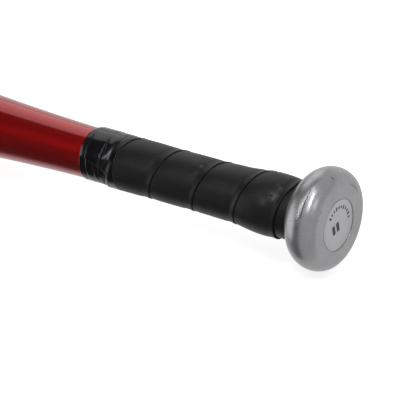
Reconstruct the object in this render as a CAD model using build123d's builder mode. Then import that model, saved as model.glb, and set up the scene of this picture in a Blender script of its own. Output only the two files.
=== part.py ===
"""Aluminium baseball bat for children, 20 inches long, lying on its side.

Frame: millimetres, +Z up. The bat's axis is the X axis. The knob's end face is at X = 0 and looks
along +X, and the barrel runs away from it along -X. The floor that the barrel lies on is at
Z = -BARREL_RADIUS.

Every piece is turned about the axis, so each outline is drawn on the LATHE plane, whose first
coordinate is the distance from the knob's end face and whose second is the radius.
"""
from build123d import *
import math
import os

# Driving dimensions
LENGTH = 508.0  # knob face to barrel end, the 20 inch size
BARREL_RADIUS = 27.0  # 2 1/8 inch barrel
HANDLE_RADIUS = 11.9  # bare tube under the grip
KNOB_RADIUS = 24.4
LABEL_RADIUS = 12.0  # 24 mm sticker

# Tube
HANDLE_WALL = 2.0
BARREL_WALL = 1.7
TUBE_START = 8.0  # the tube's end, inside the knob's socket
TAPER_START = 99.0
BARREL_START = 390.0
TAPER_ARC_RADIUS = 1610.0  # hollow arc between the handle and the middle of the taper
RIM_CORNER = 5.0  # outside radius where the barrel's end is rolled in
LIP_RADIUS = 20.5  # hole that the end cap snaps into
CAP_CROWN = 4.0  # how far the cap stands out of the rolled rim
RIM_END = LENGTH - CAP_CROWN

# Knob
KNOB_FLAT_RADIUS = 18.8  # flat part of the end face
KNOB_WIDEST = 7.8  # distance of the widest circle from the end face
KNOB_BACK_DEPTH = 12.5  # half-axis of the round back, from the widest circle
KNOB_BACK_CENTRE = 10.0  # radius at which the back's other half-axis starts
KNOB_BACK_END = 16.0  # degrees, where the back's curve meets the straight neck
KNOB_NECK_RADIUS = 13.6
KNOB_LENGTH = 22.0
RECESS_RADIUS = 12.6
RECESS_DEPTH = 0.5
RECESS_CHAMFER = 0.2
RECESS_SHIFT = (-0.7, -0.9)  # along Y and Z: the recess is not quite in the middle
KNOB_HOLE_RADIUS = 7.5
LABEL_THICKNESS = 0.3
WELD_LEG = 1.5
WELD_CREST_RADIUS = 2.1
PLUG_WALL = 1.2
PLUG_LENGTH = 6.0

# Grip
ADHESIVE = 0.2
STRIP_THICKNESS = 1.3
LAYER_GAP = 0.02  # keeps wound layers from sharing a surface
ANCHOR_START = 24.5  # the strip's first turn, square to the axis
ANCHOR_END = 47.0
SKIVE_LENGTH = 4.0  # over which the strip's edge is thinned
SKIVED_EDGE = 0.4
WRAP_START = 22.4
WRAP_END = 135.0
WRAP_BACK_RADIUS = 12.9  # stretched end of the strip, under the finishing tape
WRAP_STEP_LENGTH = 1.5  # over which the strip drops under the finishing tape
WRAP_PITCH = 24.5
SEAM_AT_TOP = 16.5  # distance where the seam line crosses the top of the bat, before the strip
SEAM_WIDTH = 0.3
FINISH_START = 117.6
FINISH_WIDTH = 20.4
FINISH_RADIUS = 13.35
FINISH_STEP = 0.15  # one layer of PVC tape
FINISH_TOP_WIDTH = 14.0  # outermost turn of the tape
FINISH_RAMP = 0.6  # length over which the tape drops from the strip to the tube

# Foam inside the handle
FOAM_START = 60.0
FOAM_END = 90.0

# End cap
CAP_LENGTH = 14.0
CAP_WALL = 3.0
CAP_HEAD_RADIUS = 22.4
CAP_FLAT_RADIUS = 17.0
CAP_CROWN_RADIUS = 7.0
CAP_BARB_RADIUS = 21.8
CAP_BARB_LENGTH = 1.5
CAP_SKIRT_RADIUS = LIP_RADIUS - 1.5

LATHE = Plane(origin=(0, 0, 0), x_dir=(-1, 0, 0), z_dir=(0, 1, 0))
END_FACE = Plane(origin=(0, 0, 0), x_dir=(0, 1, 0), z_dir=(1, 0, 0))  # of the knob


def taper(start_radius, end_radius):
    """Draws the two tangent arcs that carry an outline from the handle up to the barrel."""
    length = BARREL_START - TAPER_START
    turn = 2 * math.atan((end_radius - start_radius) / length)
    barrel_arc_radius = length / math.sin(turn) - TAPER_ARC_RADIUS
    hollow = JernArc((TAPER_START, start_radius), (1, 0), TAPER_ARC_RADIUS, math.degrees(turn))
    JernArc(hollow @ 1, hollow % 1, barrel_arc_radius, -math.degrees(turn))


def tube_radius(distance):
    """Outside radius of the tube along the handle and the first half of the taper."""
    along = max(0.0, distance - TAPER_START)
    return HANDLE_RADIUS + TAPER_ARC_RADIUS - math.sqrt(TAPER_ARC_RADIUS**2 - along**2)


def on_tube(distance, height):
    """The outline point that lies a given height above the tube."""
    return (distance, tube_radius(distance) + height)


def tube_line(start, end, height):
    """Draws the outline that follows the tube from start to end at a given height."""
    first = max(start, TAPER_START)
    if start < TAPER_START:
        Line(on_tube(start, height), on_tube(first, height))
    ThreePointArc(on_tube(first, height), on_tube((first + end) / 2, height), on_tube(end, height))


def save(piece, name):
    """Labels a finished piece and writes it as a node."""
    piece.part.label = name
    export_step(piece.part, f"parts/{name}.step")


os.makedirs("parts", exist_ok=True)

# One-piece tube: thick-walled handle, taper, barrel, and an end rolled in to a snap lip
with BuildPart() as shaft_tube:
    bore_radius = HANDLE_RADIUS - HANDLE_WALL
    inner_barrel = BARREL_RADIUS - BARREL_WALL
    with BuildSketch(LATHE):
        with BuildLine():
            Line((TUBE_START, HANDLE_RADIUS), (TAPER_START, HANDLE_RADIUS))
            taper(HANDLE_RADIUS, BARREL_RADIUS)
            barrel = Line((BARREL_START, BARREL_RADIUS), (RIM_END - RIM_CORNER, BARREL_RADIUS))
            rim = JernArc(barrel @ 1, (1, 0), RIM_CORNER, -90)
            Polyline(rim @ 1, (RIM_END, LIP_RADIUS), (RIM_END - BARREL_WALL, LIP_RADIUS),
                     (RIM_END - BARREL_WALL, BARREL_RADIUS - RIM_CORNER))
            JernArc((RIM_END - BARREL_WALL, BARREL_RADIUS - RIM_CORNER), (0, 1),
                    RIM_CORNER - BARREL_WALL, 90)
            Line((RIM_END - RIM_CORNER, inner_barrel), (BARREL_START, inner_barrel))
            taper(bore_radius, inner_barrel)
            Polyline((TAPER_START, bore_radius), (TUBE_START, bore_radius), (TUBE_START, HANDLE_RADIUS))
        make_face()
    revolve(axis=Axis.X)
save(shaft_tube, "shaft_tube")

# Knob: round rim, flat face with a shallow recess for the sticker, and a socket for the tube
with BuildPart() as knob:
    with BuildSketch(LATHE):
        with BuildLine():
            Line((0, KNOB_HOLE_RADIUS), (0, KNOB_FLAT_RADIUS))
            EllipticalCenterArc((KNOB_WIDEST, KNOB_FLAT_RADIUS), KNOB_WIDEST,
                                KNOB_RADIUS - KNOB_FLAT_RADIUS, 90, arc_size=90)
            back = EllipticalCenterArc((KNOB_WIDEST, KNOB_BACK_CENTRE), KNOB_BACK_DEPTH,
                                       KNOB_RADIUS - KNOB_BACK_CENTRE, KNOB_BACK_END,
                                       arc_size=90 - KNOB_BACK_END)
            Polyline(back @ 0, (KNOB_LENGTH, KNOB_NECK_RADIUS), (KNOB_LENGTH, HANDLE_RADIUS),
                     (TUBE_START, HANDLE_RADIUS), (TUBE_START, KNOB_HOLE_RADIUS),
                     (0, KNOB_HOLE_RADIUS))
        make_face()
    revolve(axis=Axis.X)
    with BuildSketch(END_FACE):
        with Locations(RECESS_SHIFT):
            Circle(RECESS_RADIUS)
    extrude(amount=-RECESS_DEPTH, mode=Mode.SUBTRACT)
    recess_rim = knob.edges().filter_by(GeomType.CIRCLE).filter_by(
        lambda e: abs(e.radius - RECESS_RADIUS) < 0.01).sort_by(Axis.X)[-1]
    chamfer(recess_rim, RECESS_CHAMFER)
save(knob, "knob")

# Fillet weld round the tube where it leaves the knob
with BuildPart() as knob_weld:
    with BuildSketch(LATHE):
        with BuildLine():
            bead = RadiusArc((KNOB_LENGTH + WELD_LEG, HANDLE_RADIUS),
                             (KNOB_LENGTH, HANDLE_RADIUS + WELD_LEG), -WELD_CREST_RADIUS)
            Polyline(bead @ 1, (KNOB_LENGTH, HANDLE_RADIUS), bead @ 0)
        make_face()
    revolve(axis=Axis.X)
save(knob_weld, "knob_weld")

# Moulded cup that closes the knob's hole under the sticker
with BuildPart() as knob_plug:
    with BuildSketch(LATHE):
        plug_end = RECESS_DEPTH + PLUG_LENGTH
        with BuildLine():
            Polyline((RECESS_DEPTH, 0), (RECESS_DEPTH, KNOB_HOLE_RADIUS), (plug_end, KNOB_HOLE_RADIUS),
                     (plug_end, KNOB_HOLE_RADIUS - PLUG_WALL),
                     (RECESS_DEPTH + PLUG_WALL, KNOB_HOLE_RADIUS - PLUG_WALL),
                     (RECESS_DEPTH + PLUG_WALL, 0), close=True)
        make_face()
    revolve(axis=Axis.X)
save(knob_plug, "knob_plug")

# Round sticker on the floor of the recess
with BuildPart() as knob_label:
    with BuildSketch(END_FACE.offset(-RECESS_DEPTH)):
        with Locations(RECESS_SHIFT):
            Circle(LABEL_RADIUS)
    extrude(amount=LABEL_THICKNESS)
save(knob_label, "knob_label")

# Double-sided tape that holds the grip strip
with BuildPart() as grip_adhesive:
    adhesive_end = WRAP_END - 2
    with BuildSketch(LATHE):
        with BuildLine():
            tube_line(ANCHOR_START, adhesive_end, 0)
            tube_line(ANCHOR_START, adhesive_end, ADHESIVE)
            Line(on_tube(ANCHOR_START, 0), on_tube(ANCHOR_START, ADHESIVE))
            Line(on_tube(adhesive_end, 0), on_tube(adhesive_end, ADHESIVE))
        make_face()
    revolve(axis=Axis.X)
save(grip_adhesive, "grip_adhesive")

# First turn of the strip, which the helical turns cover: it makes the swelling beside the knob
anchor_floor = ADHESIVE + LAYER_GAP
anchor_top = HANDLE_RADIUS + anchor_floor + STRIP_THICKNESS
with BuildPart() as grip_anchor_turn:
    with BuildSketch(LATHE):
        with BuildLine():
            Polyline((ANCHOR_START, HANDLE_RADIUS + anchor_floor), (ANCHOR_START, anchor_top),
                     (ANCHOR_END - SKIVE_LENGTH, anchor_top),
                     (ANCHOR_END, HANDLE_RADIUS + anchor_floor + SKIVED_EDGE),
                     (ANCHOR_END, HANDLE_RADIUS + anchor_floor), close=True)
        make_face()
    revolve(axis=Axis.X)
save(grip_anchor_turn, "grip_anchor_turn")

# Grip strip: a sleeve of the strip's thickness, slit along a left-handed helix into one ribbon
with BuildPart() as grip_wrap:
    wrap_floor = ADHESIVE + LAYER_GAP
    over_anchor = anchor_top + LAYER_GAP
    with BuildSketch(LATHE):
        with BuildLine():
            outside = Spline((WRAP_START, 14.0), (28, 14.65), (37, 15.1), (47, 14.3), (60, 13.6),
                             (73, 13.25), (95, 13.2), (FINISH_START - WRAP_STEP_LENGTH, 13.25))
            Polyline(outside @ 1, (FINISH_START, WRAP_BACK_RADIUS), (WRAP_END, WRAP_BACK_RADIUS),
                     on_tube(WRAP_END, wrap_floor))
            tube_line(ANCHOR_END + 1, WRAP_END, wrap_floor)
            Polyline((ANCHOR_END + 1, HANDLE_RADIUS + wrap_floor),
                     (ANCHOR_END + LAYER_GAP, HANDLE_RADIUS + wrap_floor + SKIVED_EDGE + LAYER_GAP),
                     (ANCHOR_END - SKIVE_LENGTH, over_anchor), (WRAP_START, over_anchor), outside @ 0)
        make_face()
    revolve(axis=Axis.X)
    helix_plane = Plane(origin=(-SEAM_AT_TOP, 0, 0), x_dir=(0, 0, 1), z_dir=(-1, 0, 0))
    with BuildLine(helix_plane):
        seam = Helix(WRAP_PITCH, WRAP_END + 4 - SEAM_AT_TOP, FINISH_RADIUS, lefthand=True)
    with BuildSketch(LATHE):
        with Locations((SEAM_AT_TOP, FINISH_RADIUS)):
            Rectangle(SEAM_WIDTH, 5)
    sweep(path=seam, is_frenet=True, mode=Mode.SUBTRACT)
save(grip_wrap, "grip_wrap")

# Finishing tape: three turns of PVC tape, each a little nearer the knob than the last
with BuildPart() as finishing_tape:
    tape_end = FINISH_START + FINISH_WIDTH
    top_turn_end = FINISH_START + FINISH_TOP_WIDTH
    tape_floor = WRAP_BACK_RADIUS + LAYER_GAP
    with BuildSketch(LATHE):
        with BuildLine():
            Polyline((FINISH_START + LAYER_GAP, tape_floor), (WRAP_END + LAYER_GAP, tape_floor),
                     on_tube(WRAP_END + LAYER_GAP, 0), on_tube(tape_end, 0),
                     on_tube(tape_end, 3 * FINISH_STEP),
                     (WRAP_END + FINISH_RAMP, FINISH_RADIUS - FINISH_STEP),
                     (top_turn_end, FINISH_RADIUS - FINISH_STEP), (top_turn_end, FINISH_RADIUS),
                     (FINISH_START + LAYER_GAP, FINISH_RADIUS), close=True)
        make_face()
    revolve(axis=Axis.X)
save(finishing_tape, "finishing_tape")

# Closed-cell foam pushed into the handle to deaden it
with BuildPart() as handle_foam:
    with BuildSketch(END_FACE.offset(-FOAM_END)):
        Circle(HANDLE_RADIUS - HANDLE_WALL)
    extrude(amount=FOAM_END - FOAM_START)
save(handle_foam, "handle_foam")

# Moulded end cap: crowned head outside the rim, neck through the lip, and a barb behind it
with BuildPart() as end_cap:
    barb_start = RIM_END - BARREL_WALL
    cap_start = LENGTH - CAP_LENGTH
    with BuildSketch(LATHE):
        with BuildLine():
            crown = RadiusArc((LENGTH, CAP_FLAT_RADIUS), (RIM_END, CAP_HEAD_RADIUS), CAP_CROWN_RADIUS)
            Polyline(crown @ 1, (RIM_END, LIP_RADIUS), (barb_start, LIP_RADIUS),
                     (barb_start, CAP_BARB_RADIUS), (barb_start - CAP_BARB_LENGTH, CAP_BARB_RADIUS),
                     (cap_start, CAP_SKIRT_RADIUS), (cap_start, CAP_SKIRT_RADIUS - CAP_WALL),
                     (LENGTH - CAP_WALL, CAP_SKIRT_RADIUS - CAP_WALL), (LENGTH - CAP_WALL, 0),
                     (LENGTH, 0), crown @ 0)
        make_face()
    revolve(axis=Axis.X)
save(end_cap, "end_cap")
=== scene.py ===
"""Looks for the short aluminium bat: red tube, wound black grip, finishing tape, knob, label and end cap.

Outlines are in millimetres, as (distance from the knob's end face, radius). The bat's axis is X,
with the knob's end face at X = 0 and the barrel along -X. Angles round the axis run from +Z
towards -Y.
"""
import math

import bmesh
import bpy
import numpy as np
from mathutils import Matrix, Vector


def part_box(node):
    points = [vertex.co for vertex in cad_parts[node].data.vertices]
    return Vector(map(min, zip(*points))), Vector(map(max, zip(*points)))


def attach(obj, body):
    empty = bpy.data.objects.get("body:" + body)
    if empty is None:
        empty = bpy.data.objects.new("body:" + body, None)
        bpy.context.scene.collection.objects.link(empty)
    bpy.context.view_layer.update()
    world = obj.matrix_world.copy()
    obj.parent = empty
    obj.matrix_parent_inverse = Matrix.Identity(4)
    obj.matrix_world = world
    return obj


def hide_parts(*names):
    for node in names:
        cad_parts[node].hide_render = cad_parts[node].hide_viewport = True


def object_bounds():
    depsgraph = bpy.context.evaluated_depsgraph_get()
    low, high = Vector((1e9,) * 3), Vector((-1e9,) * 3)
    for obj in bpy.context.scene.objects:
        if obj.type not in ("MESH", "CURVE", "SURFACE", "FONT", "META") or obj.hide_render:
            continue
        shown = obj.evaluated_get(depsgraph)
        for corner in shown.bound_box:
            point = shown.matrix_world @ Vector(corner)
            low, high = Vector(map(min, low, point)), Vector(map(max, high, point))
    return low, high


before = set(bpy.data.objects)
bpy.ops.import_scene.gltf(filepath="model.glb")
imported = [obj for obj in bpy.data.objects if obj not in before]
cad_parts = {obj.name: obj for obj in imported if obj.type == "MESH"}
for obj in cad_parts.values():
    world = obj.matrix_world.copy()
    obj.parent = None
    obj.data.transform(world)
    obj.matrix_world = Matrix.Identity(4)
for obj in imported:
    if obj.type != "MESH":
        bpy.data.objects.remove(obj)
cad_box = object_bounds()

MM = 0.001
SIDES = 288  # round a turned piece
KNOB_SIDES = 360
LABEL_SIDES = 160

# ---------------------------------------------------------------- sizes, from the CAD parts' boxes where they hold them
LENGTH = -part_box("end_cap")[0].x / MM
BARREL_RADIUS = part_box("shaft_tube")[1].z / MM
KNOB_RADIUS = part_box("knob")[1].z / MM
LABEL_RADIUS = (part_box("knob_label")[1].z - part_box("knob_label")[0].z) / 2 / MM
LABEL_FACE = -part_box("knob_label")[1].x / MM
LABEL_CENTRE = [sum(corner[axis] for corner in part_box("knob_label")) / 2 / MM for axis in (1, 2)]
RIM_END = -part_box("shaft_tube")[0].x / MM
TUBE_START = -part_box("shaft_tube")[1].x / MM
KNOB_LENGTH = -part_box("knob")[0].x / MM
WRAP_END = -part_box("grip_wrap")[0].x / MM
TAPE_END = -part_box("finishing_tape")[0].x / MM

HANDLE_RADIUS = 11.9
HANDLE_WALL = 2.0
BARREL_WALL = 1.7
TAPER_START = 99.0
BARREL_START = 390.0
TAPER_ARC_RADIUS = 1610.0
RIM_CORNER = 5.0
LIP_RADIUS = 20.5


def smooth(low, high, value):
    """0 below low, 1 above high, and an easy S between."""
    x = np.clip((value - low) / (high - low), 0.0, 1.0)
    return x * x * (3 - 2 * x)


def bump(centre, width, value):
    """A rounded ridge of height 1."""
    return np.exp(-(((value - centre) / width) ** 2))


# ---------------------------------------------------------------- meshes


def loft(name, sections, ring, loop, sharp=38):
    """Skins a row of sections, each an array of points in mm.

    ring closes each section, and loop closes the row.
    """
    sections = np.asarray(sections, float)
    rows, points = sections.shape[:2]
    index = np.arange(rows * points).reshape(rows, points)
    nxt_row = np.roll(index, -1, 0) if loop else index[1:]
    row = index if loop else index[:-1]
    if ring:
        faces = np.stack([row, np.roll(row, -1, 1), np.roll(nxt_row, -1, 1), nxt_row], -1)
    else:
        faces = np.stack([row[:, :-1], row[:, 1:], nxt_row[:, 1:], nxt_row[:, :-1]], -1)
    faces = faces.reshape(-1, 4).tolist()
    if ring and not loop:
        faces += [index[0].tolist(), index[-1].tolist()[::-1]]
    mesh = bpy.data.meshes.new(name)
    mesh.from_pydata((sections.reshape(-1, 3) * MM).tolist(), [], faces)
    work = bmesh.new()
    work.from_mesh(mesh)
    bmesh.ops.remove_doubles(work, verts=work.verts, dist=1e-7)
    bmesh.ops.recalc_face_normals(work, faces=work.faces)
    work.to_mesh(mesh)
    work.free()
    mesh.shade_smooth()
    mesh.set_sharp_from_angle(angle=math.radians(sharp))
    piece = bpy.data.objects.new(name, mesh)
    bpy.context.scene.collection.objects.link(piece)
    return piece


def on_axis(distance, radius, angle):
    """Points in mm from distances, radii and angles round the bat's axis, in radians."""
    distance, radius, angle = np.broadcast_arrays(distance, radius, angle)
    return np.stack([-distance, -radius * np.sin(angle), radius * np.cos(angle)], -1)


def turned(name, outline, ring=True, sides=SIDES, sharp=38):
    """Turns an outline about the bat's axis. An outline that starts and ends on the axis has ring=False."""
    outline = np.asarray(outline, float)
    angles = np.linspace(0, 2 * math.pi, sides, endpoint=False)
    return loft(name, on_axis(outline[:, 0], outline[:, 1], angles[:, None]), ring, True, sharp)


def arc(centre, half_axes, start, end, steps):
    """Points on an ellipse in the outline's plane, angles in degrees."""
    angles = np.radians(np.linspace(start, end, steps))
    distance = centre[0] + half_axes[0] * np.cos(angles)
    radius = centre[1] + half_axes[1] * np.sin(angles)
    return np.stack([distance, radius], -1)


def line(start, end, steps):
    return np.linspace(start, end, steps)


# ---------------------------------------------------------------- materials


class Nodes:
    """A short way to write a node tree."""

    def __init__(self, name):
        self.material = bpy.data.materials.new(name)
        self.material.use_nodes = True
        self.tree = self.material.node_tree
        self.shader = self.tree.nodes["Principled BSDF"]

    def add(self, kind, **sockets):
        node = self.tree.nodes.new(kind)
        for key, value in sockets.items():
            if hasattr(node, key):
                setattr(node, key, value)
            else:
                self.put(node.inputs[key.replace("_", " ")], value)
        return node

    def put(self, socket, value):
        if isinstance(value, bpy.types.NodeSocket):
            self.tree.links.new(value, socket)
        else:
            socket.default_value = value

    def set(self, **sockets):
        for key, value in sockets.items():
            self.put(self.shader.inputs[key.replace("_", " ")], value)
        return self

    def math(self, operation, a, b=0.0):
        node = self.tree.nodes.new("ShaderNodeMath")
        node.operation = operation
        self.put(node.inputs[0], a)
        self.put(node.inputs[1], b)
        return node.outputs[0]

    def place(self, scale=(1, 1, 1)):
        coordinates = self.add("ShaderNodeTexCoord").outputs["Object"]
        return self.add("ShaderNodeMapping", Vector=coordinates, Scale=scale).outputs[0]

    def noise(self, scale, detail=2.0, roughness=0.5, stretch=(1, 1, 1)):
        return self.add(
            "ShaderNodeTexNoise", Vector=self.place(stretch), Scale=scale, Detail=detail, Roughness=roughness
        ).outputs["Fac"]

    def ramp(self, value, low, high, to_low=0.0, to_high=1.0):
        node = self.tree.nodes.new("ShaderNodeMapRange")
        for socket, v in zip(node.inputs, (value, low, high, to_low, to_high)):
            self.put(socket, v)
        return node.outputs[0]

    def mix(self, factor, a, b):
        node = self.tree.nodes.new("ShaderNodeMix")
        node.data_type = "RGBA"
        for socket, value in zip([node.inputs[0], node.inputs[6], node.inputs[7]], (factor, a, b)):
            self.put(socket, value)
        return node.outputs[2]

    def band(self, value, centre, full, end):
        """1 within full of the centre, falling to 0 at end."""
        away = self.math("ABSOLUTE", self.math("SUBTRACT", value, centre))
        return self.ramp(away, full, end, 1.0, 0.0)

    def relief(self, height, strength, distance):
        return self.add("ShaderNodeBump", Strength=strength, Distance=distance, Height=height).outputs[0]


def red_lacquer():
    """Transparent red finish over aluminium: saturated metal under a clear, glossy surface."""
    n = Nodes("red_lacquer")
    flake = n.noise(2600, 1.0)
    grain = n.noise(60, 3.0, stretch=(0.3, 6, 6))
    colour = n.mix(n.ramp(grain, 0.3, 0.7), (0.33, 0.0012, 0.002, 1), (0.41, 0.0015, 0.002, 1))
    roughness = n.ramp(flake, 0.3, 0.7, 0.36, 0.44)
    n.set(Base_Color=colour, Metallic=1.0, Roughness=roughness)
    n.set(Coat_Weight=1.0, Coat_Roughness=0.11, Coat_IOR=1.53)
    n.set(Normal=n.relief(flake, 0.06, 0.0001))
    return n.material


REFLECTION_LINE_DISTANCE = 6.7  # of a dark line painted along the knob's rim as a reflection of the gap between two softboxes, from the end face
REFLECTION_LINE_ANGLE = 51
DENT_RADIUS = 18.1  # of a dull arc near the edge of the end face
DENT_ANGLE = -42


def knob_metal():
    """Buffed cast aluminium: soft patches, faint rings, pits, a dark line painted into the rim's highlight as
    a reflection, and a dull arc.
    """
    n = Nodes("knob_metal")
    patches = n.noise(70, 3.0, 0.6)
    mottle = n.noise(260, 3.0, 0.6)
    along = n.add("ShaderNodeSeparateXYZ", Vector=n.place())
    squares = [n.math("MULTIPLY", along.outputs[axis], along.outputs[axis]) for axis in (1, 2)]
    radius = n.math("SQRT", n.math("ADD", *squares))
    wavering = n.math("ADD", radius, n.math("MULTIPLY", patches, 0.0035))
    outwards = n.add("ShaderNodeCombineXYZ", X=wavering).outputs[0]
    rings = n.add("ShaderNodeTexNoise", Vector=outwards, Scale=620.0, Detail=2.0)
    colour = n.mix(n.ramp(patches, 0.3, 0.7), (0.35, 0.35, 0.38, 1), (0.43, 0.425, 0.415, 1))
    pits = n.ramp(n.noise(420, 1.0), 0.70, 0.78)
    colour = n.mix(pits, colour, (0.2, 0.19, 0.18, 1))
    x, y, z = (along.outputs[axis] for axis in range(3))
    turn = n.math("ARCTAN2", n.math("MULTIPLY", y, -1.0), z)
    waver = n.math("MULTIPLY", n.math("SUBTRACT", patches, 0.5), 0.0012)
    # Painted reflection: a dark line along the rim's highlight, standing for the gap between two softboxes.
    painted_reflection_line = n.band(n.math("ADD", x, waver), -REFLECTION_LINE_DISTANCE * MM, 0.16 * MM, 0.34 * MM)
    painted_reflection_line = n.math("MULTIPLY", painted_reflection_line, n.band(turn, math.radians(REFLECTION_LINE_ANGLE), 0.24, 0.32))
    dent = n.band(n.math("ADD", radius, waver), DENT_RADIUS * MM, 0.15 * MM, 0.6 * MM)
    dent = n.math("MULTIPLY", dent, n.band(turn, math.radians(DENT_ANGLE), 0.1, 0.35))
    dent = n.math("MULTIPLY", dent, n.band(x, 0.0, 1.0 * MM, 1.5 * MM))
    dark = n.math("ADD", n.math("MULTIPLY", painted_reflection_line, 0.9), n.math("MULTIPLY", dent, 0.5))
    colour = n.mix(dark, colour, (0.06, 0.06, 0.065, 1))
    roughness = n.math("ADD", n.ramp(patches, 0.3, 0.7, 0.22, 0.34), n.ramp(mottle, 0.35, 0.75, 0.0, 0.05))
    height = n.math("ADD", patches, n.math("MULTIPLY", rings.outputs["Fac"], 0.35))
    height = n.math("ADD", height, n.math("MULTIPLY", mottle, 0.04))
    n.set(Base_Color=colour, Metallic=0.75, Roughness=roughness, Normal=n.relief(height, 0.05, 0.0006))
    return n.material


# Each pale spot painted on the grip as a highlight, where a ridge catches the light: distance, angle round
# the axis, radius and strength
PAINTED_GRIP_HIGHLIGHTS = (
    (28.6, 30, 3.0, 0.6),
    (29.2, 50, 3.4, 0.5),
    (72.4, 26, 1.6, 0.6),
    (96.0, 27, 1.8, 0.45),
    (33.0, 62, 3.0, 0.2),
)
GRIP_RADIUS = 14.0  # about where the grip's surface lies, for the painted highlights' centres


def grip_rubber():
    """Matte black polyurethane strip with a fine leather grain, and a few pale spots painted in as highlights
    where its ridges catch the light.
    """
    n = Nodes("grip_rubber")
    cells = n.add("ShaderNodeTexVoronoi", Vector=n.place(), Scale=1500.0).outputs["Distance"]
    rubbed = n.noise(90, 3.0)
    blotch = n.ramp(n.noise(330, 3.0, 0.6), 0.42, 0.62)
    colour = n.mix(n.ramp(rubbed, 0.35, 0.7), (0.0045, 0.0045, 0.0052, 1), (0.008, 0.008, 0.0096, 1))
    # Painted highlights: pale spots where the strip's ridges catch the light.
    painted_highlight = 0.0
    for distance, angle, size, strength in PAINTED_GRIP_HIGHLIGHTS:
        centre = on_axis(distance, GRIP_RADIUS, math.radians(angle)) * MM
        away = n.add("ShaderNodeVectorMath", operation="DISTANCE")
        n.put(away.inputs[0], n.place())
        n.put(away.inputs[1], tuple(centre))
        near = n.ramp(away.outputs["Value"], 0.3 * size * MM, size * MM, strength, 0.0)
        painted_highlight = n.math("MAXIMUM", painted_highlight, near)
    painted_highlight = n.math("MULTIPLY", painted_highlight, blotch)
    colour = n.mix(painted_highlight, colour, (0.16, 0.16, 0.18, 1))
    roughness = n.ramp(rubbed, 0.3, 0.7, 0.46, 0.4)
    n.set(Specular_IOR_Level=0.3, Base_Color=colour, Roughness=roughness)
    n.set(Normal=n.relief(cells, 0.25, 0.00012))
    return n.material


def pvc_tape():
    """Stretched black PVC tape: glossy, with faint pull lines round the bat."""
    n = Nodes("pvc_tape")
    pulls = n.noise(45, 3.0, stretch=(7, 0.7, 0.7))
    colour = n.mix(pulls, (0.003, 0.003, 0.004, 1), (0.006, 0.006, 0.008, 1))
    n.set(Base_Color=colour, Roughness=n.ramp(pulls, 0.3, 0.7, 0.1, 0.2), Normal=n.relief(pulls, 0.3, 0.0005))
    return n.material


def label_film():
    """Silver-grey matte film."""
    n = Nodes("label_film")
    grain = n.noise(1200, 2.0)
    colour = n.mix(grain, (0.52, 0.51, 0.53, 1), (0.58, 0.57, 0.59, 1))
    n.set(Base_Color=colour, Metallic=0.2, Roughness=n.ramp(grain, 0.3, 0.7, 0.42, 0.52))
    return n.material


def label_ink():
    """Black print, a little uneven."""
    n = Nodes("label_ink")
    density = n.noise(900, 2.0)
    colour = n.mix(density, (0.02, 0.02, 0.02, 1), (0.035, 0.035, 0.035, 1))
    n.set(Base_Color=colour, Roughness=n.ramp(density, 0, 1, 0.4, 0.55))
    return n.material


def moulded_black():
    """Moulded nylon with a fine spark-eroded texture."""
    n = Nodes("moulded_black")
    texture = n.noise(1400, 2.0)
    cloud = n.noise(70, 2.0)
    n.set(
        Base_Color=n.mix(cloud, (0.012, 0.012, 0.013, 1), (0.022, 0.022, 0.024, 1)),
        Roughness=n.ramp(cloud, 0.3, 0.7, 0.42, 0.52),
        Normal=n.relief(texture, 0.25, 0.0001),
    )
    return n.material


def weld_metal():
    """Rippled aluminium bead."""
    n = Nodes("weld_metal")
    ripples = n.noise(500, 2.0, stretch=(1, 3, 3))
    colour = n.mix(ripples, (0.35, 0.35, 0.36, 1), (0.5, 0.5, 0.5, 1))
    roughness = n.ramp(ripples, 0.3, 0.7, 0.35, 0.5)
    n.set(Base_Color=colour, Metallic=1.0, Roughness=roughness)
    n.set(Normal=n.relief(ripples, 0.5, 0.0003))
    return n.material


def cloth_tape():
    """Pale double-sided tape."""
    n = Nodes("cloth_tape")
    weave = n.noise(1800, 1.0)
    colour = n.mix(weave, (0.55, 0.52, 0.42, 1), (0.68, 0.65, 0.55, 1))
    n.set(Base_Color=colour, Roughness=n.ramp(weave, 0, 1, 0.7, 0.9))
    return n.material


def grey_foam():
    """Closed-cell foam."""
    n = Nodes("grey_foam")
    cells = n.add("ShaderNodeTexVoronoi", Vector=n.place(), Scale=900.0).outputs["Distance"]
    colour = n.mix(cells, (0.05, 0.05, 0.055, 1), (0.14, 0.14, 0.15, 1))
    n.set(Base_Color=colour, Roughness=n.ramp(cells, 0, 1, 0.8, 0.95))
    n.set(Normal=n.relief(cells, 0.6, 0.0005))
    return n.material


# ---------------------------------------------------------------- the tube and its end cap


def tube_radius(distance):
    """Outside radius along the handle and the first half of the taper."""
    along = np.maximum(0.0, np.asarray(distance, float) - TAPER_START)
    return HANDLE_RADIUS + TAPER_ARC_RADIUS - np.sqrt(TAPER_ARC_RADIUS**2 - along**2)


def taper(start_radius, end_radius, steps=70):
    """The hollow and the crowned arc that join handle and barrel."""
    length = BARREL_START - TAPER_START
    turn = 2 * math.atan((end_radius - start_radius) / length)
    crown_radius = length / math.sin(turn) - TAPER_ARC_RADIUS
    distance = np.linspace(TAPER_START, BARREL_START, steps)
    from_handle = np.maximum(0, TAPER_ARC_RADIUS**2 - (distance - TAPER_START) ** 2)
    from_barrel = np.maximum(0, crown_radius**2 - (BARREL_START - distance) ** 2)
    hollow = start_radius + TAPER_ARC_RADIUS - np.sqrt(from_handle)
    crown = end_radius - crown_radius + np.sqrt(from_barrel)
    radius = np.where(distance < TAPER_START + TAPER_ARC_RADIUS * math.sin(turn), hollow, crown)
    return np.stack([distance, radius], -1)


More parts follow.
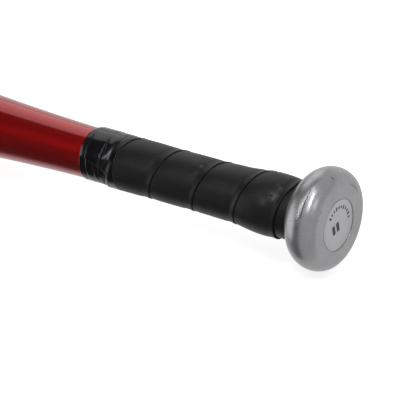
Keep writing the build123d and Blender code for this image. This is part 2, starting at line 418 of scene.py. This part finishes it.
def make_tube():
    """One-piece tube: handle, taper, barrel, and an end rolled in to a lip."""
    bore, inner = HANDLE_RADIUS - HANDLE_WALL, BARREL_RADIUS - BARREL_WALL
    corner = (RIM_END - RIM_CORNER, BARREL_RADIUS - RIM_CORNER)
    outline = np.concatenate(
        [
            line((TUBE_START, HANDLE_RADIUS), (TAPER_START - 2, HANDLE_RADIUS), 24),
            taper(HANDLE_RADIUS, BARREL_RADIUS),
            line((BARREL_START + 5, BARREL_RADIUS), (RIM_END - RIM_CORNER - 2, BARREL_RADIUS), 20),
            arc(corner, (RIM_CORNER, RIM_CORNER), 90, 0, 14),
            [(RIM_END, LIP_RADIUS + 0.3), (RIM_END - 0.3, LIP_RADIUS), (RIM_END - BARREL_WALL, LIP_RADIUS)],
            arc(corner, (RIM_CORNER - BARREL_WALL, RIM_CORNER - BARREL_WALL), 0, 90, 8),
            taper(bore, inner)[::-1],
            [(TUBE_START, bore)],
        ]
    )
    return turned("bat_tube", outline)


CAP_HEAD_RADIUS = 22.4
CAP_FLAT_RADIUS = 17.0
CAP_BARB_RADIUS = 21.8
CAP_BARB_LENGTH = 1.5
CAP_SKIRT_RADIUS = LIP_RADIUS - 1.5
CAP_WALL = 3.0
CAP_DISH_DEPTH = 0.35


def make_cap():
    """A crowned head with a shallow dish, a neck through the tube's lip, and a barb behind it."""
    barb = RIM_END - BARREL_WALL
    start = -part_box("end_cap")[1].x / MM
    bore = CAP_SKIRT_RADIUS - CAP_WALL
    inside = LENGTH - CAP_WALL
    dish = LENGTH - CAP_DISH_DEPTH
    crown = LENGTH - RIM_END
    outline = np.concatenate(
        [
            [(dish, 0.0), (dish, CAP_FLAT_RADIUS - 5.0), (LENGTH, CAP_FLAT_RADIUS - 4.4)],
            [(LENGTH, CAP_FLAT_RADIUS)],
            arc((RIM_END, CAP_FLAT_RADIUS), (crown, CAP_HEAD_RADIUS - CAP_FLAT_RADIUS), 4, 90, 14),
            [(RIM_END, LIP_RADIUS), (barb, LIP_RADIUS)],
            [(barb, CAP_BARB_RADIUS), (barb - CAP_BARB_LENGTH, CAP_BARB_RADIUS)],
            [(start, CAP_SKIRT_RADIUS), (start, bore), (inside, bore), (inside, 0)],
        ]
    )
    return turned("bat_end_cap", outline, ring=False)


# ---------------------------------------------------------------- knob and label

KNOB_FLAT_RADIUS = 18.8
KNOB_WIDEST = 7.8
KNOB_BACK_DEPTH = 12.5
KNOB_BACK_CENTRE = 10.0
KNOB_BACK_END = 16  # degrees, where the back's curve meets the neck
KNOB_NECK_RADIUS = 13.6
KNOB_HOLE_RADIUS = 7.5
RECESS_RADIUS = 12.6
RECESS_DEPTH = 0.5


def make_knob():
    """The knob turns about the bat's axis, but its recess has a centre of its own."""
    front_height = KNOB_RADIUS - KNOB_FLAT_RADIUS
    back_height = KNOB_RADIUS - KNOB_BACK_CENTRE
    rim = np.concatenate(
        [
            line((0.0, KNOB_FLAT_RADIUS - 3.0), (0.0, KNOB_FLAT_RADIUS - 0.4), 8),
            arc((KNOB_WIDEST, KNOB_FLAT_RADIUS), (KNOB_WIDEST, front_height), 180, 92, 40),
            arc((KNOB_WIDEST, KNOB_BACK_CENTRE), (KNOB_BACK_DEPTH, back_height), 90, KNOB_BACK_END, 40),
            [(KNOB_LENGTH, KNOB_NECK_RADIUS), (KNOB_LENGTH, HANDLE_RADIUS), (TUBE_START, HANDLE_RADIUS)],
            [(TUBE_START, KNOB_HOLE_RADIUS), (RECESS_DEPTH + 0.8, KNOB_HOLE_RADIUS)],
        ]
    )
    recess = np.concatenate(
        [
            [(RECESS_DEPTH, RECESS_RADIUS - 0.8), (RECESS_DEPTH, RECESS_RADIUS - 0.2)],
            arc((RECESS_DEPTH - 0.15, RECESS_RADIUS - 0.15), (0.15, 0.15), 0, 90, 4),
            arc((0.22, RECESS_RADIUS + 0.22), (0.22, 0.22), 270, 180, 6),
        ]
    )
    angles = np.linspace(0, 2 * math.pi, KNOB_SIDES, endpoint=False)[:, None]
    turned_part = on_axis(rim[:, 0], rim[:, 1], angles)
    set_in = on_axis(recess[:, 0], recess[:, 1], angles) + [0.0, *LABEL_CENTRE]
    hole = on_axis(np.array([RECESS_DEPTH]), np.array([KNOB_HOLE_RADIUS]), angles)
    return loft("bat_knob", np.concatenate([hole, set_in, turned_part], 1), True, True)


def plate(name, outline, low, high):
    """A flat piece parallel to the knob's face: outline is (right, up) as seen from outside, in mm."""
    outline = np.asarray(outline, float)
    depths = (low, high)
    sections = [np.column_stack([np.full(len(outline), -depth), outline]) for depth in depths]
    return loft(name, sections, True, False)


STROKES = 11
STROKE_RADIUS = 8.6
FIRST_STROKE = -52  # degrees to the right of straight up
STROKE_STEP = 13.4
BAR_TILT = 14
BAR_SHIFT = (2.1, 1.1)  # how far left and down the pair of bars stands
INK = 0.03  # height of the print over the film


def make_label(film, ink):
    """Round sticker with a rounded rim, an arc of short strokes and a pair of bars, which say nothing."""
    angles = np.linspace(0, 2 * math.pi, LABEL_SIDES, endpoint=False)
    steps = (
        (RECESS_DEPTH, LABEL_RADIUS),
        (LABEL_FACE + 0.08, LABEL_RADIUS),
        (LABEL_FACE, LABEL_RADIUS - 0.12),
    )
    rows = []
    for depth, radius in steps:
        right = radius * np.cos(angles) + LABEL_CENTRE[0]
        up = radius * np.sin(angles) + LABEL_CENTRE[1]
        rows.append(np.stack([np.full(LABEL_SIDES, -depth), right, up], -1))
    label = loft("bat_label", rows, True, False)
    label.data.materials.append(film)
    marks = []
    for k in range(STROKES):
        turn = math.radians(FIRST_STROKE + STROKE_STEP * k)
        length = 1.3 if k % 3 else 2.0
        box = bar((0, STROKE_RADIUS), 0.95, length, -turn)
        marks.append(plate("mark", box, LABEL_FACE, LABEL_FACE - INK))
    for offset in (-1.7, 1.7):
        box = bar((offset, 0), 2.2, 4.6, math.radians(BAR_TILT))
        box = [(right - BAR_SHIFT[0], up - BAR_SHIFT[1]) for right, up in box]
        marks.append(plate("mark", box, LABEL_FACE, LABEL_FACE - INK))
    for mark in marks:
        mark.data.materials.append(ink)
    return join(label, marks)


def spin(point, angle):
    """Turns a point about the label's middle, from its place with the label at the origin."""
    x, y = point
    return (
        x * math.cos(angle) - y * math.sin(angle) + LABEL_CENTRE[0],
        x * math.sin(angle) + y * math.cos(angle) + LABEL_CENTRE[1],
    )


def bar(middle, width, length, angle):
    """The corners of a bar round a middle point, turned about the label's middle."""
    x, y = middle
    corners = ((-1, -1), (1, -1), (1, 1), (-1, 1))
    return [spin((x + i * width / 2, y + j * length / 2), angle) for i, j in corners]


def join(piece, others):
    """Makes the others part of the piece."""
    with bpy.context.temp_override(active_object=piece, selected_editable_objects=[piece, *others]):
        bpy.ops.object.join()
    return piece


# ---------------------------------------------------------------- grip

PITCH = 24.45
SEAM_AT_TOP = 16.45  # distance of the first turn's knob-side edge where it would cross the top of the bat
STRIP_WIDTH = 28.5
OVERLAP = STRIP_WIDTH - PITCH
ADHESIVE = 0.2
GAP = 0.02
EDGE = 0.1  # height of the strip's exposed edge over the turn below
VALLEY = 0.22  # how far the thin edges sink behind the seam
ANCHOR_RADIUS = 14.1
ANCHOR_END = 47.0
STEPS_PER_TURN = 150
GRIP_SEED = 7
TAPE_SEED = 11


def strip_edge(angle):
    """Distance of the exposed, knob-side edge of the strip after winding through angle, in radians."""
    regular = SEAM_AT_TOP + PITCH * angle / (2 * math.pi) + 0.25 * (1 - np.cos(angle))
    off_the_knob = 4.5 * (1 - smooth(0.3, 4.4, angle))
    over_the_swelling = 1.1 * bump(7.6, 1.6, angle)
    return np.maximum(regular + off_the_knob + over_the_swelling, KNOB_LENGTH + 0.1)


def bed_radius(distance):
    """What the strip is wound on: the first square turn beside the knob, then the taped tube."""
    tube = tube_radius(distance) + ADHESIVE
    over_anchor = 1 - smooth(ANCHOR_END - 5, ANCHOR_END + 1, distance)
    return tube + (ANCHOR_RADIUS - HANDLE_RADIUS - ADHESIVE) * over_anchor


def full_radius(distance):
    """The wound grip's outside, without seams. It is fattest over the first turn."""
    fat = 1.5 * (1 - smooth(35.5, 55.0, distance)) + 0.42 * (1 - smooth(47.0, 73.0, distance))
    return 13.13 + fat - 0.5 * (1 - smooth(23.0, 33.0, distance)) + 0.16 * smooth(95.0, 110.0, distance)


def seam_profile(across):
    """Height of the strip's outside across its width: a thin raised edge, a valley, then a low crown."""
    lip = EDGE * (1 - smooth(0.1, 2.6, across))
    valley = -VALLEY * smooth(0.1, 2.9, across) * (1 - smooth(3.2, 6.4, across))
    crown = 0.06 * np.sin(np.clip((across - 6) / (PITCH - 6), 0, 1) * math.pi)
    far = -0.14 * smooth(PITCH - 6, PITCH, across)
    groove = -0.4 * smooth(PITCH - 0.75, PITCH - 0.15, across)
    return lip + valley + crown + far + groove


def wandering(angle, distance, seed, size):
    """A slow, smooth unevenness, as hands leave in a wound strip."""
    total = np.zeros(np.broadcast(angle, distance).shape)
    rng = np.random.default_rng(seed)
    for k in range(1, 6):
        phase = rng.uniform(0, 2 * math.pi, 2)
        around = np.sin(k * angle + phase[0] + 0.11 * k * distance)
        along = np.sin(0.09 * k * distance + phase[1])
        total += around * along / k
    return size * total


# Where the strip's outside has points across its width, closest together at its two edges
ACROSS = np.concatenate(
    [
        [0, 0.08, 0.2, 0.4, 0.7, 1.0, 1.4],
        np.arange(1.8, 8.0, 0.4),
        np.arange(8.0, 23.5, 0.9),
        [23.5, 23.8, 24.0, 24.2, 24.35],
    ]
)
STRIP_START = -1.5  # radians before the top of the bat
STRIP_END = 25.9  # radians wound before the strip is cut
LAST_SEAM = 8 * math.pi  # radians wound when the last visible turn starts at the top


def make_wrap():
    """The strip as one ribbon: each turn lies on the far edge of the turn before it."""
    turns = (STRIP_END - STRIP_START) / (2 * math.pi)
    angles = np.linspace(STRIP_START, STRIP_END, int(STEPS_PER_TURN * turns))
    sections = []
    for angle in angles:
        edge = float(strip_edge(angle))
        width = float(strip_edge(angle + 2 * math.pi)) - edge
        room = (WRAP_END - edge) / width * PITCH
        outside = np.minimum(ACROSS, room)
        distance = edge + outside * width / PITCH
        tuck = np.minimum(edge + width + np.array([0.0, 1.2, 2.4, OVERLAP - 0.4, OVERLAP]), WRAP_END)
        full = full_radius(distance)
        top = full + seam_profile(outside) + wandering(angle, distance, GRIP_SEED, 0.035)
        hidden = np.clip((tuck - edge - width) / OVERLAP, 0, 1)
        tuck_depth = (full_radius(tuck) - bed_radius(tuck)) * 0.9 * (1 - 0.9 * hidden)
        under = bed_radius(tuck) + tuck_depth - 0.3 * (1 - smooth(0, 0.3, hidden))
        lift = (full - bed_radius(distance)) * 0.92 * np.clip(1 - (distance - edge) / OVERLAP, 0, 1)
        below = np.minimum(bed_radius(distance) + lift + GAP, top - 0.1)
        d = np.concatenate([distance[:1], distance, tuck, tuck[::-1], distance[::-1]])
        r = np.concatenate([[(below[0] + top[0]) / 2], top, under, bed_radius(tuck[::-1]) + GAP, below[::-1]])
        sections.append(on_axis(d, r, angle))
    return loft("bat_grip_strip", sections, True, False, sharp=50)


def make_anchor():
    """The strip's first turn, wound square to the axis, which shows beside the knob."""
    start = KNOB_LENGTH - 1.3
    over_weld = KNOB_NECK_RADIUS + 0.3
    low = HANDLE_RADIUS + ADHESIVE + GAP
    edge = [(start, over_weld), (start, over_weld + 0.05), (start + 0.3, ANCHOR_RADIUS - 0.06)]
    top = [(start + step, ANCHOR_RADIUS) for step in (1.0, 2, 4, 7, 11, 15)]
    skived = [(ANCHOR_END - 5, ANCHOR_RADIUS - 0.03), (ANCHOR_END, ANCHOR_RADIUS - 1.2)]
    underside = [(ANCHOR_END, low), (start + 3.0, low), (start + 1.4, over_weld - 0.2)]
    return turned("bat_grip_first_turn", edge + top + skived + underside, sharp=50)


# ---------------------------------------------------------------- finishing tape

FILM = 0.15
TAPE_START = 117.45
TAPE_STEP = 0.2
TAPE_SIDES = 480
RUBBER_AT_TOP = 115.25  # distance of the strip's far edge at the top, under the tape


def from_top(angle):
    """The angle from the top of the bat, between half a turn back and half a turn on."""
    return (angle + math.pi) % (2 * math.pi) - math.pi


def strip_ends(turn):
    """How far the rubber reaches under the tape. Its last turn stops part of the way round."""
    helix = RUBBER_AT_TOP + PITCH * turn / (2 * math.pi)
    last_turn = 1.0 if turn < 0 else 1 - float(smooth(0.95, 1.8, turn))
    return min(helix + PITCH * last_turn, WRAP_END + 2.0)


def make_finishing_tape():
    """Three turns of PVC tape over the strip's cut end, stepping down on to the tube."""
    angles = np.linspace(0, 2 * math.pi, TAPE_SIDES, endpoint=False)
    steps = int((TAPE_END - TAPE_START) / TAPE_STEP) + 18
    sections = []
    for angle in angles:
        turn = from_top(angle)
        follows_seam = 1 - float(smooth(0.1, 1.1, abs(turn)))
        seam = float(strip_edge(LAST_SEAM + turn))
        knob_edge = TAPE_START + (seam + 0.1 - TAPE_START) * follows_seam
        far_edge = TAPE_END - 0.15 + 0.12 * math.sin(2 * angle + 1.1)
        distance = np.linspace(knob_edge, far_edge, steps)
        tube = tube_radius(distance)
        dip = 0.4 * bump(seam + 2.2, 2.2, distance) * (1 - float(smooth(1.4, 2.6, turn)))
        rubber = full_radius(distance) - dip
        ends = strip_ends(turn)
        top = tube + (rubber - tube) * (1 - smooth(ends - 1.6, ends + 1.4, distance)) + FILM
        top += 2 * FILM * smooth(ends - 2.0, ends + 0.5, distance)
        top += tape_layers(turn, distance)
        top += wandering(angle, distance, TAPE_SEED, 0.02)
        top[0] -= 0.1
        top[-1] -= 0.08
        low = [tube[-1] + 0.01, min(full_radius(distance[0]) - 0.42, top[0] - 0.1)]
        sections.append(on_axis(np.append(distance, distance[[-1, 0]]), np.append(top, low), angle))
    return loft("bat_finishing_tape", sections, True, True, sharp=60)


def tape_layers(turn, distance):
    """Edges of the inner turns, and the creases pulled into them.

    A crease has its distance, its width along the bat, its height, and where it is and how far it
    spreads round the bat.
    """
    middle = 125.9 + 0.8 * math.sin(turn - 0.4)
    outer = 134.4 + 0.9 * math.cos(turn + 0.6)
    layers = FILM * smooth(-0.12, 0.12, distance - middle) - FILM * smooth(-0.12, 0.12, distance - outer)
    creases = (
        (middle - 0.3, 0.3, 0.17, 0.75, 0.75),
        (outer - 0.5, 0.35, 0.12, 0.3, 0.8),
        (125.2 - 1.8 * (turn - 0.45), 0.28, 0.12, 0.62, 0.28),
        (118.9 + 0.9 * turn, 0.25, -0.12, 0.1, 0.3),
        (121.5 + 3.4 * (turn - 1.95), 0.3, 0.14, 2.1, 0.4),
        (129.2 - 2.6 * (turn - 1.9), 0.32, 0.15, 2.0, 0.42),
        (124.4 + 4.2 * (turn - 2.2), 0.3, 0.12, 2.35, 0.3),
        (126.9 + 0.2 * turn, 0.5, -0.1, 2.3, 0.5),
    )
    relief = sum(
        height * bump(at, width, distance) * bump(centre, spread, turn)
        for at, width, height, centre, spread in creases
    )
    return layers + relief


# ---------------------------------------------------------------- build


def dress(piece, material, slot_name, *nodes):
    """Gives a piece its material and body, and hides the CAD nodes it stands for."""
    if material is not None:
        piece.data.materials.clear()
        piece.data.materials.append(material)
    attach(piece, "root")
    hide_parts(*nodes)


red, metal, rubber, pvc = red_lacquer(), knob_metal(), grip_rubber(), pvc_tape()
black = moulded_black()
dress(make_tube(), red, "red_aluminium", "shaft_tube")
dress(make_cap(), black, "black_plastic", "end_cap")
dress(make_knob(), metal, "knob_aluminium", "knob")
dress(make_label(label_film(), label_ink()), None, "label_film", "knob_label")
dress(make_wrap(), rubber, "grip_rubber", "grip_wrap")
dress(make_anchor(), rubber, "grip_rubber", "grip_anchor_turn")
dress(make_finishing_tape(), pvc, "pvc_tape", "finishing_tape")

hidden_nodes = {
    "knob_weld": weld_metal(),
    "knob_plug": black,
    "grip_adhesive": cloth_tape(),
    "handle_foam": grey_foam(),
}
for node, material in hidden_nodes.items():
    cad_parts[node].data.materials.clear()
    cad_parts[node].data.materials.append(material)

# ---------------------------------------------------------------- stage: floor, light, camera

FLOOR_SIZE = 12.0
GREY_WALL, DARK_SIDE, FAR_WALL, WHITE_PAPER = 0.58, 0.07, 1.3, 0.78  # radiance of the surroundings
AZIMUTH, ELEVATION, DISTANCE = 55.2, 24.3, 1.4  # of the camera, seen from the knob's face
FOCAL = 278.4
AIM_DEPTH = 0.0006  # behind the knob's face, on the axis
AIM_LEFT, AIM_UP = 0.06268, 0.01019  # from that point to what the camera aims at


def make_floor():
    """A pale floor at the height that the barrel lies on. It lights nothing and shows in no reflection."""
    half = FLOOR_SIZE / 2
    mesh = bpy.data.meshes.new("floor")
    corners = [(-half, -half, 0), (half, -half, 0), (half, half, 0), (-half, half, 0)]
    mesh.from_pydata(corners, [], [(0, 1, 2, 3)])
    floor = bpy.data.objects.new("floor", mesh)
    floor.location = (-0.25, 0, cad_box[0][2])
    bpy.context.scene.collection.objects.link(floor)
    n = Nodes("pale_floor")
    speckle = n.noise(300, 2.0)
    colour = n.mix(speckle, (0.88, 0.88, 0.88, 1), (0.9, 0.9, 0.9, 1))
    n.set(Base_Color=colour, Roughness=0.9, Specular_IOR_Level=0.0)
    n.set(Emission_Color=(1, 1, 1, 1), Emission_Strength=0.62)
    floor.data.materials.append(n.material)
    floor.visible_glossy = False
    floor.visible_diffuse = False


def softbox(name, position, target, width, height, radiance):
    """A flat light of a given radiance, at a place in metres, facing a target."""
    lamp = bpy.data.lights.new(name, "AREA")
    lamp.shape = "RECTANGLE"
    lamp.size, lamp.size_y = width, height
    lamp.energy = radiance * math.pi * width * height
    light = bpy.data.objects.new(name, lamp)
    light.location = position
    light.rotation_euler = (Vector(target) - Vector(position)).to_track_quat("-Z", "Y").to_euler()
    light.visible_camera = False
    bpy.context.scene.collection.objects.link(light)


def zone(tree, direction, towards, low, high):
    """1 for directions close to a given one and 0 far from it: low and high are cosines."""
    facing = tree.nodes.new("ShaderNodeVectorMath")
    facing.operation = "DOT_PRODUCT"
    facing.inputs[1].default_value = Vector(towards).normalized()
    tree.links.new(direction, facing.inputs[0])
    edge = tree.nodes.new("ShaderNodeMapRange")
    edge.interpolation_type = "SMOOTHSTEP"
    edge.inputs["From Min"].default_value = low
    edge.inputs["From Max"].default_value = high
    tree.links.new(facing.outputs["Value"], edge.inputs["Value"])
    return edge.outputs["Result"]


def blend(tree, factor, first, second):
    """Mixes two strengths, each a number or a socket."""
    mix = tree.nodes.new("ShaderNodeMix")
    tree.links.new(factor, mix.inputs["Factor"])
    for value, socket in ((first, mix.inputs["A"]), (second, mix.inputs["B"])):
        if isinstance(value, float):
            socket.default_value = value
        else:
            tree.links.new(value, socket)
    return mix.outputs["Result"]


def make_world():
    """A studio: white paper behind and under the bat, a pale wall past the barrel, and little in between."""
    world = bpy.data.worlds.new("studio")
    world.use_nodes = True
    tree = world.node_tree
    direction = tree.nodes.new("ShaderNodeTexCoord").outputs["Generated"]
    dark = zone(tree, direction, (-1.0, 0.0, 0.0), 0.12, 0.42)
    far_wall = zone(tree, direction, (-0.93, -0.32, -0.12), 0.86, 0.96)
    paper = zone(tree, direction, (-0.1, 0.87, -0.5), 0.22, 0.56)
    strength = blend(tree, dark, GREY_WALL, DARK_SIDE)
    strength = blend(tree, far_wall, strength, FAR_WALL)
    strength = blend(tree, paper, strength, WHITE_PAPER)
    background = tree.nodes["Background"]
    background.inputs["Color"].default_value = (1, 1, 1, 1)
    tree.links.new(strength, background.inputs["Strength"])
    bpy.context.scene.world = world


def make_camera():
    """Looks along the bat from the knob, a little from above."""
    azimuth, elevation = math.radians(AZIMUTH), math.radians(ELEVATION)
    level = math.cos(elevation)
    back = Vector((math.cos(azimuth) * level, -math.sin(azimuth) * level, math.sin(elevation)))
    right = Vector((0, 0, 1)).cross(back).normalized()
    up = back.cross(right)
    aim = Vector((-AIM_DEPTH, 0, 0)) - right * AIM_LEFT + up * AIM_UP
    camera = bpy.data.objects.new("camera", bpy.data.cameras.new("camera"))
    camera.data.lens = FOCAL
    camera.data.sensor_width = 36.0
    camera.data.clip_end = 50.0
    facing = Matrix((right, up, back)).transposed().to_4x4()
    camera.matrix_world = Matrix.Translation(aim + back * DISTANCE) @ facing
    bpy.context.scene.collection.objects.link(camera)
    bpy.context.scene.camera = camera


make_floor()
make_world()
make_camera()
softbox("key_left", (-0.2, -0.265, 0.33), (-0.03, 0, 0), 0.03, 0.6, 8.0)
softbox("key_right", (0.05, -0.245, 0.37), (-0.01, 0, 0), 0.055, 0.3, 9.0)
softbox("front_fill", (0.3, -0.2, 0.3), (0, 0, 0), 0.16, 0.16, 1.4)
softbox("top_panel", (-0.475, 0.25, 0.46), (-0.16, 0, 0), 0.5, 0.4, 1.15)
bpy.context.scene.view_settings.view_transform = "Standard"
